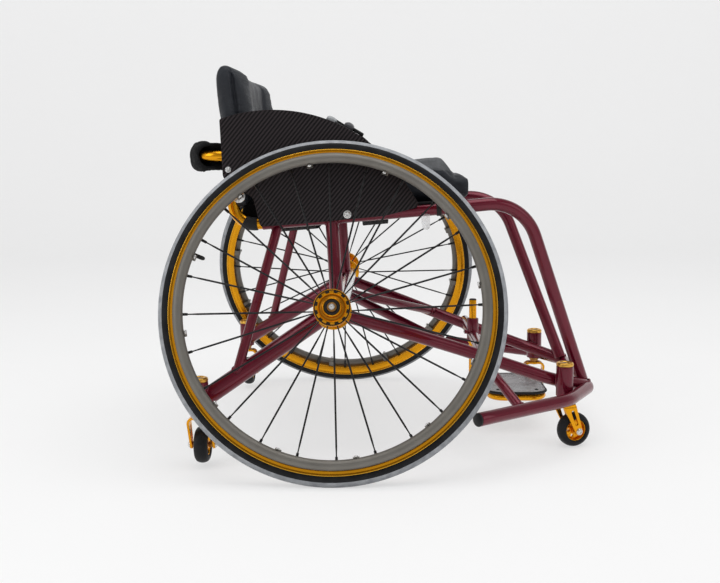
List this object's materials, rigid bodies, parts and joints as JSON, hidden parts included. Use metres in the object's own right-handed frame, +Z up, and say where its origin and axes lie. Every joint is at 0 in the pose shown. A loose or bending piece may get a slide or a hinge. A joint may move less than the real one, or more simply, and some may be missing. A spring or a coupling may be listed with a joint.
{
  "type": "sports wheelchair",
  "caption": "Rigid-frame court sports wheelchair with cambered spoked drive wheels, push rims, swivelling casters, front bumper, height-set footrest and padded low back.",
  "frame": {"origin": "under the middle of the chair at floor level", "axes": "+X forward to the bumper, +Y to the sitter's left, +Z up from the floor"},
  "size_m": [0.8472, 0.934, 0.763],
  "materials": {
    "burgundy_gloss": "gloss burgundy enamel with a clear coat",
    "gold_anodised": "satin gold anodised",
    "polished_aluminium": "polished bare metal",
    "grey_pushrim": "satin titanium-grey anodised",
    "tyre_rubber": "black side walls with a grey tread",
    "black_plastic": "moulded black",
    "black_leather": "soft black grained covering over foam",
    "black_fabric": "woven black nylon",
    "carbon_twill": "carbon twill in satin resin",
    "grey_plate": "grey moulded sheet with a black edge"
  },
  "bodies": {
    "frame": {"back_cane_right": "gold_anodised", "axle_right": "polished_aluminium", "camber_plug_right": "polished_aluminium", "seat_tube_right": "burgundy_gloss", "seat_post_right": "burgundy_gloss", "lower_side_tube_right": "burgundy_gloss", "rear_lower_tube_right": "burgundy_gloss", "rear_stay_right": "burgundy_gloss", "v_brace_right": "burgundy_gloss", "bumper_strut_right": "burgundy_gloss", "bumper_cap_right": "black_plastic", "side_guard_right": "carbon_twill", "back_cane_left": "gold_anodised", "axle_left": "polished_aluminium", "camber_plug_left": "polished_aluminium", "seat_tube_left": "burgundy_gloss", "seat_post_left": "burgundy_gloss", "lower_side_tube_left": "burgundy_gloss", "rear_lower_tube_left": "burgundy_gloss", "rear_stay_left": "burgundy_gloss", "v_brace_left": "burgundy_gloss", "bumper_strut_left": "burgundy_gloss", "bumper_cap_left": "black_plastic", "side_guard_left": "carbon_twill", "camber_tube": "polished_aluminium", "bumper_tube": "burgundy_gloss", "footrest_carrier": "burgundy_gloss", "caster_cap_front_right": "gold_anodised", "caster_cap_front_left": "gold_anodised", "caster_cap_rear_right": "gold_anodised", "caster_cap_rear_left": "gold_anodised", "rear_bow_pad": "black_fabric", "seat_sling": "black_fabric", "lap_belt": "black_fabric", "back_upholstery": "black_leather", "seat_cushion": "black_leather"},
    "wheel_right": {"tyre_right": "tyre_rubber", "rim_right": "gold_anodised", "hub_right": "gold_anodised", "pushrim_right": "grey_pushrim"},
    "button_right": {"release_button_right": "polished_aluminium"},
    "wheel_left": {"tyre_left": "tyre_rubber", "rim_left": "gold_anodised", "hub_left": "gold_anodised", "pushrim_left": "grey_pushrim"},
    "button_left": {"release_button_left": "polished_aluminium"},
    "fork_front_right": {"caster_fork_front_right": "gold_anodised"},
    "caster_front_right": {"caster_tyre_front_right": "tyre_rubber", "caster_hub_front_right": "gold_anodised"},
    "fork_front_left": {"caster_fork_front_left": "gold_anodised"},
    "caster_front_left": {"caster_tyre_front_left": "tyre_rubber", "caster_hub_front_left": "gold_anodised"},
    "fork_rear_right": {"caster_fork_rear_right": "gold_anodised"},
    "caster_rear_right": {"caster_tyre_rear_right": "tyre_rubber", "caster_hub_rear_right": "gold_anodised"},
    "fork_rear_left": {"caster_fork_rear_left": "gold_anodised"},
    "caster_rear_left": {"caster_tyre_rear_left": "tyre_rubber", "caster_hub_rear_left": "gold_anodised"},
    "footrest": {"footrest_post": "gold_anodised", "footplate": "grey_plate"}
  },
  "joints": [
    {"name": "wheel_spin_right", "type": "hinge", "parent": "frame", "child": "wheel_right", "pos_m": [-0.10365, -0.36002, 0.30746], "axis": [0, -0.9592, 0.2827], "continuous": true},
    {"name": "wheel_spin_left", "type": "hinge", "parent": "frame", "child": "wheel_left", "pos_m": [-0.10365, 0.36002, 0.30746], "axis": [0, 0.9592, 0.2827], "continuous": true},
    {"name": "release_right", "type": "slide", "parent": "frame", "child": "button_right", "axis": [0, 0.9592, -0.2827], "range_m": [0, 0.003], "stiffness_N_per_m": 500, "springref_m": -0.002},
    {"name": "release_left", "type": "slide", "parent": "frame", "child": "button_left", "axis": [0, -0.9592, -0.2827], "range_m": [0, 0.003], "stiffness_N_per_m": 500, "springref_m": -0.002},
    {"name": "swivel_front_right", "type": "hinge", "parent": "frame", "child": "fork_front_right", "pos_m": [0.35235, -0.2, 0.0955], "axis": [0, 0, 1], "continuous": true},
    {"name": "roll_front_right", "type": "hinge", "parent": "fork_front_right", "child": "caster_front_right", "pos_m": [0.37255, -0.19265, 0.035], "axis": [-0.342, 0.9397, 0], "continuous": true},
    {"name": "swivel_front_left", "type": "hinge", "parent": "frame", "child": "fork_front_left", "pos_m": [0.35235, 0.2, 0.0955], "axis": [0, 0, 1], "continuous": true},
    {"name": "roll_front_left", "type": "hinge", "parent": "fork_front_left", "child": "caster_front_left", "pos_m": [0.35235, 0.2215, 0.035], "axis": [-1, 0, 0], "continuous": true},
    {"name": "swivel_rear_right", "type": "hinge", "parent": "frame", "child": "fork_rear_right", "pos_m": [-0.35695, -0.34202, 0.1035], "axis": [0, 0, 1], "continuous": true},
    {"name": "roll_rear_right", "type": "hinge", "parent": "fork_rear_right", "child": "caster_rear_right", "pos_m": [-0.35695, -0.32052, 0.043], "axis": [-1, 0, 0], "continuous": true},
    {"name": "swivel_rear_left", "type": "hinge", "parent": "frame", "child": "fork_rear_left", "pos_m": [-0.35695, 0.34202, 0.1035], "axis": [0, 0, 1], "continuous": true},
    {"name": "roll_rear_left", "type": "hinge", "parent": "fork_rear_left", "child": "caster_rear_left", "pos_m": [-0.35695, 0.36352, 0.043], "axis": [-1, 0, 0], "continuous": true},
    {"name": "footrest_height", "type": "slide", "parent": "frame", "child": "footrest", "axis": [0, 0, 1], "range_m": [-0.035, 0.05]}
  ]
}
